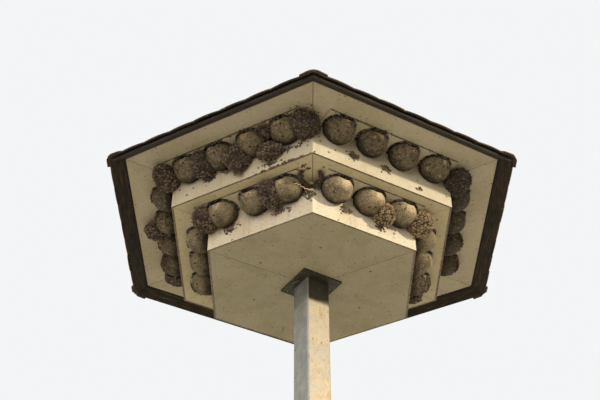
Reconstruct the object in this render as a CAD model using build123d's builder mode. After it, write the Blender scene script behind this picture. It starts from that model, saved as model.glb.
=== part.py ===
from build123d import *
import os
from math import ceil, cos, sin, tan, radians

# Nesting tower for house martins: a stepped hexagonal housing under a low tiled roof, on one square post.
# Millimetres, +Z up. The origin is the centre of the underside of the foot plate, at ground level.
# One corner of the hexagon points to -Y, and two of its sides face +X and -X.

# Post, foot plate and head plate
post_side = 140.0
post_wall = 6.0
post_corner = 10.0
post_turn = 13.0
foot_side = 320.0
foot_thickness = 20.0
foot_corner = 12.0
foot_bolt_edge = 40.0
foot_bolt_hole = 22.0
head_side = 240.0
head_thickness = 10.0
vent_hole = 12.0
vent_drop = 55.0

# Underside of the floor above the ground, and the heights of the two tiers
floor_level = 5050.0
lower_tier_height = 200.0
upper_tier_height = 208.0

# Corner radius of the lower tier, and how far each hexagon above reaches past the one below it at the corners
lower_radius = 627.0
ledge_reach = 222.0
soffit_reach = 281.0
eaves_reach = 72.0

# Boards
board_thickness = 10.0
board_lap = 30.0
board_joint = 2.0
board_fit = 0.3
board_arris = 2.0
soffit_nose = 4.0

# Roof
roof_pitch = 38.0
deck_thickness = 14.0
eaves_board_width = 85.0
roof_eye = 20.0
tile_overhang = 24.0
tile_course = 145.0
tile_butt = 12.0
tile_head = 6.0
cap_width = 140.0
cap_thickness = 9.0
cap_overhang = 6.0
cap_nose = 14.0
finial_lap = 45.0
finial_thickness = 3.0

# Nests
upper_count = 4
lower_count = 3
nest_board_depth = 128.0
nest_board_thickness = 8.0
bowl_width = 162.0
bowl_gap = 35.0
bowl_reach = 130.0
bowl_height = 100.0
bowl_wall = 11.0
bowl_centre_out = 46.0
bowl_centre_drop = 26.0
entrance_width = 62.0
entrance_height = 24.0
mud_fit = 0.5

# Mud nests that birds have built between and beside the bowls. For each: its tier and side, how many nest
# spacings its middle lies from the middle of the side, how far out from the wall and how far below the tier's
# ceiling, and its width, depth and height
mud_nest_places = (
    ("upper", "front_left", -0.99, 48, 52, 135, 175, 150),
    ("upper", "front_left", 0.04, 34, 94, 165, 155, 160),
    ("upper", "front_left", 0.99, 34, 122, 140, 105, 90),
    ("upper", "front_left", 0.97, 80, 32, 110, 100, 70),
    ("upper", "front_left", 2.07, 46, 50, 155, 165, 140),
    ("upper", "front_right", 2.27, 38, 55, 135, 175, 135),
    ("upper", "front_left", -2.17, 60, 52, 125, 190, 135),
    ("upper", "left", 0.14, 122, 48, 130, 150, 95),
    ("upper", "left", -2.02, 50, 52, 120, 150, 115),
    ("lower", "front_left", 0.58, 66, 46, 145, 175, 145),
    ("lower", "front_left", -1.48, 62, 50, 135, 165, 135),
    ("lower", "front_right", 0.46, 46, 84, 110, 120, 120),
    ("lower", "front_right", 1.61, 46, 55, 135, 165, 135),
    ("lower", "right", 1.48, 42, 50, 105, 115, 115),
)

# What is left of a nest that broke away at the lower tier's front corner: an open shell, cut off aslant. The
# ends of the break are given by how far out from the corner and how far below the ledge they lie
shell_shift = -9.0
shell_out = 52.0
shell_width = 132.0
shell_depth = 144.0
shell_height = 120.0
shell_wall = 15.0
break_outer_end = (98.0, 8.0)
break_inner_end = (8.0, 46.0)

# What follows from the driving sizes
sides = 6
side_step = 360 / sides
half_step = side_step / 2
flat = cos(radians(half_step))
slope = tan(radians(roof_pitch))
plumb = 1 / cos(radians(roof_pitch))
foot_bolt_spacing = foot_side - 2 * foot_bolt_edge
upper_radius = lower_radius + ledge_reach
soffit_radius = upper_radius + soffit_reach
eaves_radius = soffit_radius + eaves_reach
nest_spacing = bowl_width + bowl_gap
ledge_level = floor_level + lower_tier_height
soffit_level = ledge_level + upper_tier_height
lower_face = lower_radius * flat
upper_face = upper_radius * flat
soffit_edge = soffit_radius * flat
eaves_edge = eaves_radius * flat
side_angles = {
    "front_right": -side_step,
    "right": 0,
    "back_right": side_step,
    "back_left": 2 * side_step,
    "left": 3 * side_step,
    "front_left": 4 * side_step,
}

os.makedirs("parts", exist_ok=True)


def keep(piece, name):
    """Labels a finished piece and writes it under its name."""
    piece.part.label = name
    export_step(piece.part, f"parts/{name}.step")


def heading(angle):
    """Level unit vector at this angle from +X."""
    return Vector(cos(radians(angle)), sin(radians(angle)), 0)


def section_plane(angle):
    """Upright plane square to one side: x runs outward from the tower's axis, y runs up."""
    return Plane(origin=(0, 0, 0), x_dir=heading(angle), z_dir=heading(angle - 90))


def cut_mitres(angle, joint):
    """Cuts the open part back to the two mitres of its side, half a joint inside each."""
    for turn in (90 + half_step, -90 - half_step):
        outward = heading(angle + turn)
        split(bisect_by=Plane(origin=outward * (-joint / 2), z_dir=outward), keep=Keep.BOTTOM)


def make_side(angle, outline, joint):
    """One side of the hexagon: an upright section run along the side and mitred at both ends."""
    with BuildPart() as side:
        with BuildSketch(section_plane(angle)):
            with BuildLine():
                Polyline(*outline, close=True)
            make_face()
        extrude(amount=eaves_radius, both=True)
        cut_mitres(angle, joint)
    return side


def make_ring(side):
    """Six copies of the side that faces +X, set round the axis."""
    with BuildPart() as ring:
        with PolarLocations(0, sides):
            add(side.part)
    return ring


def board_section(inner, outer, level, thickness):
    """Rectangular section of a level board."""
    return [(inner, level), (outer, level), (outer, level + thickness), (inner, level + thickness)]


def ease_underside(side):
    """Takes the sharp arris off the lower edges of one board."""
    with side:
        chamfer(side.faces().sort_by(Axis.Z)[0].edges(), board_arris)


def row_plane(angle, out, level):
    """Plane at the foot of one side's row: x out from the wall, y along it, z up."""
    return Plane(origin=heading(angle) * out + Vector(0, 0, level), x_dir=heading(angle), z_dir=(0, 0, 1))


def make_ball(axes):
    """Ball stretched to three half sizes."""
    return Solid.make_sphere(1, angle1=-90).scale(tuple(axes))


def press_in(nests, pressed, level):
    """Takes what the mud was pressed against out of the nests, and cuts them level under the nest boards."""
    with nests:
        add(pressed.part, mode=Mode.SUBTRACT)
        split(bisect_by=Plane.XY.offset(level - mud_fit), keep=Keep.BOTTOM)


def roof_point(along, above):
    """Section point of the roof: along the slope upwards from the eaves edge, and square above the deck."""
    run = radians(roof_pitch)
    base = deck_underside(eaves_edge) + deck_thickness * plumb
    return (eaves_edge - along * cos(run) + above * sin(run), base + along * sin(run) + above * cos(run))


def deck_underside(out):
    """Height of the underside of the roof boards at a distance from the axis."""
    return soffit_level + soffit_nose + board_fit - (out - soffit_edge) * slope


def sloped_section(inner, outer, lift, thickness):
    """Section of a board in the roof's slope, its underside lifted square above that of the deck."""
    low = lift * plumb
    high = (lift + thickness) * plumb
    return [
        (inner, deck_underside(inner) + low),
        (outer, deck_underside(outer) + low),
        (outer, deck_underside(outer) + high),
        (inner, deck_underside(inner) + high),
    ]


# Foot plate with its four anchor holes
post_plane = Plane.XY.rotated((0, 0, -post_turn - 45))
with BuildPart() as foot_plate:
    with BuildSketch(post_plane):
        RectangleRounded(foot_side, foot_side, foot_corner)
        with GridLocations(foot_bolt_spacing, foot_bolt_spacing, 2, 2):
            Circle(foot_bolt_hole / 2, mode=Mode.SUBTRACT)
    extrude(amount=foot_thickness)
keep(foot_plate, "foot_plate")

# Square hollow post, with a vent hole high up through its front right face and the one behind it
post_top = floor_level - head_thickness
post_inside = post_side - 2 * post_wall
with BuildPart() as post:
    with BuildSketch(post_plane.offset(foot_thickness)):
        RectangleRounded(post_side, post_side, post_corner)
        RectangleRounded(post_inside, post_inside, post_corner - post_wall, mode=Mode.SUBTRACT)
    extrude(amount=post_top - foot_thickness)
    with BuildSketch(Plane(origin=(0, 0, post_top - vent_drop), z_dir=post_plane.x_dir)):
        Circle(vent_hole / 2)
    extrude(amount=post_side, both=True, mode=Mode.SUBTRACT)
keep(post, "post")

# Head plate under the floor
with BuildPart() as head_plate:
    with BuildSketch(post_plane.offset(post_top)):
        Rectangle(head_side, head_side)
    extrude(amount=head_thickness)
keep(head_plate, "head_plate")

# Floor of three lozenge boards between the lower walls
floor_radius = (lower_face - board_thickness - board_fit) / flat
with BuildPart() as floor_boards:
    with BuildSketch(Plane.XY.offset(floor_level)):
        RegularPolygon(floor_radius, sides, rotation=half_step)
        with PolarLocations(0, sides // 2, start_angle=-half_step):
            Rectangle(floor_radius, board_joint, align=(Align.MIN, Align.CENTER), mode=Mode.SUBTRACT)
    extrude(amount=board_thickness)
    chamfer(floor_boards.faces().group_by(Axis.Z)[0].edges(), board_arris)
keep(floor_boards, "floor_boards")

# Mitred walls of the two tiers
lower_wall_section = board_section(lower_face - board_thickness, lower_face, floor_level, lower_tier_height)
upper_wall_section = board_section(upper_face - board_thickness, upper_face, ledge_level, upper_tier_height)
for side_name, side_angle in side_angles.items():
    keep(make_side(side_angle, lower_wall_section, 0), f"lower_wall_{side_name}")
    keep(make_side(side_angle, upper_wall_section, 0), f"upper_wall_{side_name}")

# Ledge boards over the lower tier, fitted between the upper walls
ledge_inner = lower_face - board_thickness - board_lap
ledge_outer = upper_face - board_thickness - board_fit
ledge_board = make_side(0, board_section(ledge_inner, ledge_outer, ledge_level, board_thickness), board_joint)
ease_underside(ledge_board)
ledge_boards = make_ring(ledge_board)
keep(ledge_boards, "ledge_boards")

# Soffit boards on the upper walls, their outer edges planed to the slope of the roof
soffit_inner = upper_face - board_thickness - board_lap
soffit_top = soffit_level + board_thickness
soffit_section = [
    (soffit_inner, soffit_level),
    (soffit_edge, soffit_level),
    (soffit_edge, soffit_level + soffit_nose),
    (soffit_edge - (board_thickness - soffit_nose) / slope, soffit_top),
    (soffit_inner, soffit_top),
]
soffit_board = make_side(0, soffit_section, board_joint)
ease_underside(soffit_board)
soffit_boards = make_ring(soffit_board)
keep(soffit_boards, "soffit_boards")

# Stained eaves boards, and the deck boards inside them in the same slope
eaves_inner = eaves_edge - eaves_board_width
eaves_board = make_side(0, sloped_section(eaves_inner, eaves_edge, 0, deck_thickness), board_joint)
eaves_boards = make_ring(eaves_board)
keep(eaves_boards, "eaves_boards")

deck_outer = eaves_inner - board_fit
deck_board = make_side(0, sloped_section(roof_eye, deck_outer, 0, deck_thickness), board_joint)
roof_deck = make_ring(deck_board)
keep(roof_deck, "roof_deck")

# Tiles: each course rises from its head to a thick butt that laps the course below
tile_run = (eaves_edge - roof_eye) * plumb + tile_overhang
course_count = ceil(tile_run / tile_course)
tile_section = [roof_point(-tile_overhang, 0)]
for course in range(course_count):
    course_foot = course * tile_course - tile_overhang
    course_head = min(course_foot + tile_course, tile_run - tile_overhang)
    tile_section.append(roof_point(course_foot, tile_butt))
    tile_section.append(roof_point(course_head, tile_head))
tile_section.append(roof_point(tile_run - tile_overhang, 0))
for side_name, side_angle in side_angles.items():
    keep(make_side(side_angle, tile_section, 0), f"tiles_{side_name}")

# Hip caps: folded strips over the six hips, cut in line with both eaves, which stop where neighbours meet
cap_half = cap_width / 2
cap_fall = cap_half * sin(radians(half_step)) * slope
cap_rise = cap_thickness * plumb
cap_seat = (deck_thickness + tile_butt) * plumb + board_fit
cap_edge = roof_point(-tile_overhang, tile_butt)[0] + cap_overhang
cap_foot = cap_edge / flat - cap_nose
cap_peak = cap_half / tan(radians(half_step)) + board_joint
cap_drop = (cap_foot - cap_peak) * flat * slope
cap_level = deck_underside(cap_foot * flat) + cap_seat
with BuildPart() as hip_cap:
    with BuildSketch(Plane(origin=(cap_foot, 0, cap_level), x_dir=(0, 1, 0), z_dir=(1, 0, 0))):
        with BuildLine():
            Polyline(
                (-cap_half, -cap_fall),
                (0, 0),
                (cap_half, -cap_fall),
                (cap_half, cap_rise - cap_fall),
                (0, cap_rise),
                (-cap_half, cap_rise - cap_fall),
                close=True,
            )
        make_face()
    cap_path = Vector(cap_peak - cap_foot, 0, cap_drop)
    extrude(amount=cap_path.length, dir=cap_path.normalized())
    for turn in (half_step, -half_step):
        split(bisect_by=Plane(origin=heading(turn) * cap_edge, z_dir=heading(turn)), keep=Keep.BOTTOM)
with BuildPart() as hip_caps:
    with PolarLocations(0, sides, start_angle=half_step):
        add(hip_cap.part)
keep(hip_caps, "hip_caps")

# Folded sheet finial over the peak, lapping the heads of the hip caps
finial_outer = (cap_peak + finial_lap) * flat
finial_lift = deck_thickness + tile_butt + cap_thickness + 2 * board_fit * flat
finial_side = make_side(0, sloped_section(0, finial_outer, finial_lift, finial_thickness), 0)
finial = make_ring(finial_side)
keep(finial, "finial")

# One hollow nest bowl: a ball cut flat at the rim and at the wall, and the entrance cut down from the rim
bowl_axes = (bowl_reach - bowl_centre_out, bowl_width / 2, bowl_height - bowl_centre_drop)
bowl_centre = Location((bowl_centre_out, 0, -bowl_centre_drop))
bowl_ball = make_ball(bowl_axes)
bowl_hollow = make_ball([axis - bowl_wall for axis in bowl_axes])
pressed_ball = make_ball([axis + mud_fit for axis in bowl_axes])
with BuildPart() as bowl:
    with Locations(bowl_centre):
        add(bowl_ball)
        add(bowl_hollow, mode=Mode.SUBTRACT)
    split(bisect_by=Plane.XY, keep=Keep.BOTTOM)
    split(bisect_by=Plane.YZ, keep=Keep.TOP)
    with BuildSketch(Plane.YZ.offset(bowl_centre_out)):
        Ellipse(entrance_width / 2, entrance_height)
    extrude(amount=bowl_reach, mode=Mode.SUBTRACT)

# The rest of the broken nest, still whole where the walls and bowls will press into it
shell_axes = (shell_width / 2, shell_depth / 2, shell_height / 2)
break_start = Vector(0, -lower_radius - break_inner_end[0], ledge_level - break_inner_end[1])
break_run = Vector(0, break_inner_end[0] - break_outer_end[0], break_inner_end[1] - break_outer_end[1])
with BuildPart() as broken_nest:
    with Locations((shell_shift, -lower_radius - shell_out, ledge_level)):
        add(make_ball(shell_axes))
        add(make_ball([axis - shell_wall for axis in shell_axes]), mode=Mode.SUBTRACT)
    split(bisect_by=Plane(origin=break_start, z_dir=(0, -break_run.Z, break_run.Y)), keep=Keep.BOTTOM)

# Nest boards against the undersides, the bowls that hang from them against the walls, and the mud nests
for tier, face, level, count in (
    ("upper", upper_face, soffit_level, upper_count),
    ("lower", lower_face, ledge_level, lower_count),
):
    board_level = level - nest_board_thickness
    with BuildPart() as nest_board:
        with BuildSketch(Plane.XY.offset(board_level)):
            with Locations((face + board_fit, 0)):
                Rectangle(nest_board_depth, count * nest_spacing, align=(Align.MIN, Align.CENTER))
        extrude(amount=nest_board_thickness)
    nest_boards = make_ring(nest_board)
    keep(nest_boards, f"{tier}_nest_boards")
    for side_name, side_angle in side_angles.items():
        with BuildPart(row_plane(side_angle, face, board_level)) as bowl_row:
            with GridLocations(0, nest_spacing, 1, count):
                add(bowl.part)
        keep(bowl_row, f"{tier}_bowls_{side_name}")

    # What the mud was pressed against: the housing and every bowl of the tier, each a little larger
    with BuildPart() as pressed:
        with BuildSketch(Plane.XY.offset(board_level)):
            RegularPolygon((face + mud_fit) / flat, sides, rotation=half_step)
        extrude(amount=-eaves_radius)
        for side_angle in side_angles.values():
            with Locations(row_plane(side_angle, face, board_level)):
                with GridLocations(0, nest_spacing, 1, count):
                    with Locations(bowl_centre):
                        add(pressed_ball)
    with BuildPart() as mud_nests:
        for nest_tier, side_name, spacings, out, drop, width, depth, height in mud_nest_places:
            if nest_tier == tier:
                with Locations(row_plane(side_angles[side_name], face, level)):
                    with Locations((out, spacings * nest_spacing, -drop)):
                        add(make_ball((depth / 2, width / 2, height / 2)))
    press_in(mud_nests, pressed, board_level)
    keep(mud_nests, f"{tier}_mud_nests")
    if tier == "lower":
        press_in(broken_nest, pressed, board_level)
        keep(broken_nest, "broken_mud_nest")
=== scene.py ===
"""Looks of a nesting tower for house martins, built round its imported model."""

import logging
import math
import random
from collections.abc import Callable, Iterator
from contextlib import contextmanager
from dataclasses import dataclass
from enum import Enum

import bpy
from mathutils import Matrix, Vector


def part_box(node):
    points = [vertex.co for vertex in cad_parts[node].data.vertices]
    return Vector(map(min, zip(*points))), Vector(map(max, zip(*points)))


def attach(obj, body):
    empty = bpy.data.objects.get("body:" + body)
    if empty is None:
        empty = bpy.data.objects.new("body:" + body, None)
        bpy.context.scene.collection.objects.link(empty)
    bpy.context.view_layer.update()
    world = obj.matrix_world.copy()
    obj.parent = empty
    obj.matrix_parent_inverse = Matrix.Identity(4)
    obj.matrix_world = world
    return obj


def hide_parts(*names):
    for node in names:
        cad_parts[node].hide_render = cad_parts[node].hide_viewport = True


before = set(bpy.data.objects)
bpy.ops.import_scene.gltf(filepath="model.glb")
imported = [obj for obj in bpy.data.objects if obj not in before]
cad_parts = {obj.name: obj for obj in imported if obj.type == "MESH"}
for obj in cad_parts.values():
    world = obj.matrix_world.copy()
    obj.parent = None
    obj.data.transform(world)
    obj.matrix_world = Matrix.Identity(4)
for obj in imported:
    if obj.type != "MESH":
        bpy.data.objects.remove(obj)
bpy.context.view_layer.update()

log = logging.getLogger("nesting_tower")

Piece = bpy.types.Object
Material = bpy.types.Material
Socket = bpy.types.NodeSocket

MM = 0.001
MUD_SLOT = "dried_mud"
STEP = math.tau / 6
HALF_STEP = STEP / 2
UP = Vector((0, 0, 1))
TO_WALL = Vector((-1, 0, 0))


class Side(Enum):
    """The six sides of the hexagon, each with the number of steps from +X to its outward direction."""

    RIGHT = 0
    BACK_RIGHT = 1
    BACK_LEFT = 2
    LEFT = 3
    FRONT_LEFT = 4
    FRONT_RIGHT = 5

    @property
    def turn(self) -> float:
        """Angle of the side's outward direction from +X, in radians."""
        return self.value * STEP

    @property
    def label(self) -> str:
        """The side's name as the nodes spell it."""
        return self.name.lower()


class Tier(Enum):
    """The two tiers of nests."""

    UPPER = "upper"
    LOWER = "lower"


class CutEdge(Enum):
    """Which faces of a laminate board show its dark core: none, or those that face down or out."""

    NONE = "none"
    DOWN = "down"
    OUT = "out"


@dataclass(frozen=True)
class BowlShape:
    """The ball that each nest bowl is cut from, placed from the wall and the rim, and the pitch of a row."""

    out: float = 46 * MM
    drop: float = 26 * MM
    half_out: float = 84 * MM
    half_along: float = 81 * MM
    half_up: float = 74 * MM
    spacing: float = 197 * MM
    counts: tuple[tuple[Tier, int], ...] = ((Tier.UPPER, 4), (Tier.LOWER, 3))

    @property
    def reach(self) -> float:
        """How far a bowl stands out from the wall."""
        return self.out + self.half_out


@dataclass(frozen=True)
class Measures:
    """Levels and faces that the dressing lines up with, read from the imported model, in metres."""

    soffit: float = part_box("soffit_boards")[0].z
    ledge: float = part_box("ledge_boards")[0].z
    floor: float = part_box("floor_boards")[0].z
    upper_face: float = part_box("upper_wall_right")[1].x
    lower_face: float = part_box("lower_wall_right")[1].x
    upper_rim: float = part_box("upper_nest_boards")[0].z
    lower_rim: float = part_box("lower_nest_boards")[0].z
    soffit_edge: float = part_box("soffit_boards")[1].x
    tile_edge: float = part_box("tiles_right")[1].x
    tile_foot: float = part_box("tiles_right")[0].z
    cap_edge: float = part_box("hip_caps")[1].x
    roof_top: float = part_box("tiles_right")[1].z
    post_top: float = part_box("post")[1].z
    roof_pitch: float = math.radians(38)
    tile_butt: float = 12 * MM

    @property
    def tile_lip(self) -> float:
        """Distance of the lower edge of the lowest tiles from the axis."""
        return self.tile_edge - self.tile_butt * math.sin(self.roof_pitch)

    def face(self, tier: Tier) -> float:
        """Distance of a tier's wall from the axis."""
        return self.upper_face if tier is Tier.UPPER else self.lower_face

    def corner(self, tier: Tier) -> float:
        """Distance of a tier's corners from the axis."""
        return self.face(tier) / math.cos(HALF_STEP)

    def rim(self, tier: Tier) -> float:
        """Level of the underside of a tier's nest boards."""
        return self.upper_rim if tier is Tier.UPPER else self.lower_rim

    def ceiling(self, tier: Tier) -> float:
        """Level of the boards over a tier."""
        return self.soffit if tier is Tier.UPPER else self.ledge

    def wall_frame(self, tier: Tier, side: Side) -> Matrix:
        """Place of a wall: x out from its face, y along it, z up from the boards over it."""
        turn = Matrix.Rotation(side.turn, 4, "Z")
        return turn @ Matrix.Translation((self.face(tier), 0, self.ceiling(tier)))


def fade(distance: float, reach: float) -> float:
    """Falls evenly from one at no distance to nought at the reach."""
    return max(0.0, 1 - abs(distance) / reach)


def outward(angle: float) -> Vector:
    """Level direction at this angle from +X."""
    return Vector((math.cos(angle), math.sin(angle), 0))


def linear(code: str) -> tuple[float, float, float, float]:
    """Turns an sRGB hex colour to linear red, green, blue and alpha.

    Args:
        code: Six hex digits.

    Returns:
        The linear colour with full alpha.
    """
    parts = [int(code[start:start + 2], 16) / 255 for start in (0, 2, 4)]
    return (*[part / 12.92 if part <= 0.04045 else ((part + 0.055) / 1.055) ** 2.4 for part in parts], 1.0)


def add_node(
    tree: bpy.types.NodeTree, kind: str, links: dict | None = None, **settings: object
) -> bpy.types.Node:
    """Adds a node with its settings, and its inputs as values or links.

    Args:
        tree: The node tree.
        kind: The node's type name.
        links: Input name or number to an output socket or a plain value.
        settings: The node's own properties.

    Returns:
        The new node.
    """
    node = tree.nodes.new(kind)
    for name, value in settings.items():
        setattr(node, name, value)
    for name, value in (links or {}).items():
        if isinstance(value, Socket):
            tree.links.new(value, node.inputs[name])
        else:
            node.inputs[name].default_value = value
    return node


class Pattern:
    """Builds one material from patterns in millimetres, and coats of colour that they lay over each other.

    A face points down or out where that part of its normal is beyond a limit, and a spot has a solid core.
    """

    down_limit = -0.5
    out_limit = 0.7
    spot_core = 0.6

    def __init__(self, name: str, base: str) -> None:
        """Starts a material with its shader, its coordinates and its first colour."""
        self.material = bpy.data.materials.new(name)
        self.material.use_nodes = True
        self.tree = self.material.node_tree
        coordinates = self.node("ShaderNodeTexCoord").outputs
        self.place = coordinates["Object"]
        self.normal = coordinates["Normal"]
        self.colour: str | Socket = base

    def node(self, kind: str, links: dict | None = None, **settings: object) -> bpy.types.Node:
        """Adds a node to this material."""
        return add_node(self.tree, kind, links, **settings)

    def math(self, operation: str, first: object, second: object = 0.0) -> Socket:
        """Result of a sum on numbers or sockets."""
        return self.node("ShaderNodeMath", {0: first, 1: second}, operation=operation).outputs[0]

    def axes(self, vector: Socket) -> list[Socket]:
        """The x, y and z of a vector."""
        return self.node("ShaderNodeSeparateXYZ", {0: vector}).outputs[:]

    def side_turned(self, vector: Socket) -> Socket:
        """Turns a vector with the nearest side of the hexagon to +X: x out, y along the side, z up.

        Args:
            vector: The vector.

        Returns:
            The turned vector.
        """
        out, along, _ = self.axes(self.place)
        steps = self.math("ROUND", self.math("DIVIDE", self.math("ARCTAN2", along, out), STEP))
        links = {"Vector": vector, "Angle": self.math("MULTIPLY", steps, -STEP)}
        return self.node("ShaderNodeVectorRotate", links, rotation_type="Z_AXIS").outputs[0]

    def side_place(self) -> Socket:
        """Coordinates turned with the nearest side."""
        return self.side_turned(self.place)

    def faces(self, edge: CutEdge) -> Socket:
        """Finds the faces that show a cut edge.

        Args:
            edge: Which way they point.

        Returns:
            One on these faces and nought elsewhere.
        """
        if edge is CutEdge.DOWN:
            return self.math("LESS_THAN", self.axes(self.normal)[2], self.down_limit)
        return self.math("GREATER_THAN", self.axes(self.side_turned(self.normal))[0], self.out_limit)

    def stretch(self, along: float = 1.0, up: float = 1.0, place: Socket | None = None) -> Socket:
        """Coordinates scaled along y and z, which draws a pattern out where the scale is small."""
        links = {"Vector": place or self.place, "Scale": (1, along, up)}
        return self.node("ShaderNodeMapping", links).outputs[0]

    def noise(self, size_mm: float, detail: float, rough: float, place: Socket | None = None) -> Socket:
        """Cloudy pattern with patches of about this size."""
        links = {"Vector": place or self.place, "Scale": 1 / (size_mm * MM)}
        return self.node("ShaderNodeTexNoise", {**links, "Detail": detail, "Roughness": rough}).outputs["Fac"]

    def cells(self, size_mm: float, place: Socket | None = None) -> tuple[Socket, Socket]:
        """Parts space into cells of about this size.

        Args:
            size_mm: Size of a cell.
            place: Coordinates, or None for the object's own.

        Returns:
            The distance from the middle of each cell, and a chance tone for each.
        """
        cell = self.node("ShaderNodeTexVoronoi", {"Vector": place or self.place, "Scale": 1 / (size_mm * MM)})
        tone = self.node("ShaderNodeSeparateColor", {0: cell.outputs["Color"]}).outputs[0]
        return cell.outputs["Distance"], tone

    def spots(self, size_mm: float, radius_mm: float, share: float, place: Socket | None = None) -> Socket:
        """Scattered spots, soft at the rim.

        Args:
            size_mm: Size of the cells, each with one spot at most.
            radius_mm: Radius of a spot.
            share: Share of the cells that have one.
            place: Coordinates, or None for the object's own.

        Returns:
            One in the spots and nought elsewhere.
        """
        distance, tone = self.cells(size_mm, place)
        near = self.band(distance, self.spot_core * radius_mm / size_mm, radius_mm / size_mm, 1.0, 0.0)
        return self.math("MULTIPLY", near, self.math("LESS_THAN", tone, share))

    def band(self, value: Socket, low: float, high: float, to_low: float = 0.0,
             to_high: float = 1.0) -> Socket:
        """Value spread from one range to another, held at its ends."""
        links = {"Value": value, "From Min": low, "From Max": high, "To Min": to_low, "To Max": to_high}
        return self.node("ShaderNodeMapRange", links, interpolation_type="SMOOTHSTEP").outputs[0]

    def attribute(self, name: str) -> Socket:
        """A number stored on the piece's own mesh."""
        return self.node("ShaderNodeAttribute", attribute_name=name).outputs["Fac"]

    def coat(self, code: str, amount: Socket, *shares: float | Socket) -> None:
        """Lays a colour over what is there.

        Args:
            code: The colour as six hex digits.
            amount: How much of it shows, from 0 to 1.
            shares: What that is multiplied by.
        """
        for share in shares:
            amount = self.math("MULTIPLY", amount, share)
        under = linear(self.colour) if isinstance(self.colour, str) else self.colour
        links = {0: amount, 6: under, 7: linear(code)}
        self.colour = self.node("ShaderNodeMix", links, data_type="RGBA").outputs[2]

    def finish(self, rough: float | Socket, height: Socket | None = None, depth_mm: float = 0.5,
               metallic: float = 0.0) -> Material:
        """Feeds colour, roughness and relief to the shader.

        Args:
            rough: Roughness, as a number or a socket.
            height: Relief from 0 to 1, or None.
            depth_mm: Depth of the whole relief.
            metallic: How far the surface is bare metal.

        Returns:
            The finished material.
        """
        inputs = self.tree.nodes["Principled BSDF"].inputs
        self.tree.links.new(self.colour, inputs["Base Color"])
        if isinstance(rough, Socket):
            self.tree.links.new(rough, inputs["Roughness"])
        else:
            inputs["Roughness"].default_value = rough
        if height is not None:
            bump = self.node("ShaderNodeBump", {"Height": height, "Distance": depth_mm * MM, "Strength": 1.0})
            self.tree.links.new(bump.outputs[0], inputs["Normal"])
        inputs["Metallic"].default_value = metallic
        return self.material


@dataclass(frozen=True)
class FacedBoard:
    """Cream laminate board with a dark core, pressed at the works: matt, flat, dirtied by weather."""

    name: str = "faced_board"
    edge: CutEdge = CutEdge.NONE
    cream: str = "DACDAD"
    worn: str = "C8BB97"
    grime: str = "8C7C55"
    speck: str = "4A3B26"
    core: str = "2C2317"
    core_share: float = 0.95
    speck_share: float = 1.0

    def soil_and_shade(self, pattern: Pattern) -> None:
        """Adds grime and painted shade that only one kind of board has: none here."""

    def make(self) -> Material:
        """Cream with broad dirty clouds, run marks down the walls and scattered specks.

        Returns:
            The finished material.
        """
        pattern = Pattern(self.name, self.cream)
        sideways = pattern.side_place()
        clouds = pattern.band(pattern.noise(260, 4, 0.6, sideways), 0.35, 0.7)
        streaks = pattern.noise(38, 4, 0.65, pattern.stretch(up=0.12, place=sideways))
        fine = pattern.noise(9, 3, 0.7, sideways)
        pattern.coat(self.worn, clouds)
        pattern.coat(self.grime, pattern.band(streaks, 0.52, 0.78), 0.35)
        pattern.coat(self.grime, pattern.band(fine, 0.3, 0.8, 0.0, 0.18))
        for size, radius, share, strength in ((11, 2.6, 0.3, 0.6), (24, 4.6, 0.32, 0.8), (60, 9, 0.3, 0.75)):
            specks = pattern.spots(size, radius, share * self.speck_share, sideways)
            pattern.coat(self.speck, specks, strength)
        self.soil_and_shade(pattern)
        if self.edge is not CutEdge.NONE:
            chips = pattern.noise(22, 4, 0.7, sideways)
            worn_off = pattern.band(chips, 0.35, 0.65, self.core_share, self.core_share * 0.7)
            pattern.coat(self.core, pattern.faces(self.edge), worn_off)
        return pattern.finish(pattern.band(clouds, 0, 1, 0.62, 0.78), pattern.noise(14, 5, 0.6), 0.35)


@dataclass(frozen=True)
class NestBoard(FacedBoard):
    """The thin board over a row of nest bowls: dark at its cut edge, with a dark band round each rim that is
    packed grime and painted contact shade.
    """

    face: float = 0.0
    bowls: int = 4
    shape: BowlShape = BowlShape()
    dirt_and_shade_width: float = 0.13
    dirt: str = "1C150D"

    def soil_and_shade(self, pattern: Pattern) -> None:
        """Draws a broken dark band round the place of each bowl: grime, and painted contact shade where the
        bowl meets the board.

        Args:
            pattern: The material being built.
        """
        shape = self.shape
        out, along, _ = pattern.axes(pattern.side_place())
        start = shape.spacing * self.bowls / 2
        in_row = pattern.math("LESS_THAN", pattern.math("ABSOLUTE", along), start)
        place = pattern.math("MODULO", pattern.math("ADD", along, start), shape.spacing)
        squares = []
        for axis, middle, half in ((place, shape.spacing / 2, shape.half_along),
                                   (out, self.face + shape.out, shape.half_out)):
            share = pattern.math("DIVIDE", pattern.math("SUBTRACT", axis, middle), half)
            squares.append(pattern.math("POWER", share, 2))
        from_middle = pattern.math("SQRT", pattern.math("ADD", *squares))
        near = pattern.band(from_middle, 1 + 0.5 * self.dirt_and_shade_width, 1 + self.dirt_and_shade_width, 1.0, 0.0)
        broken = pattern.band(pattern.noise(14, 3, 0.6), 0.35, 0.55, 0.45, 1.0)
        # Dark band round each bowl's rim: packed grime, and painted contact shade where the bowl meets the
        # board.
        pattern.coat(self.dirt, near, broken, in_row)


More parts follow.
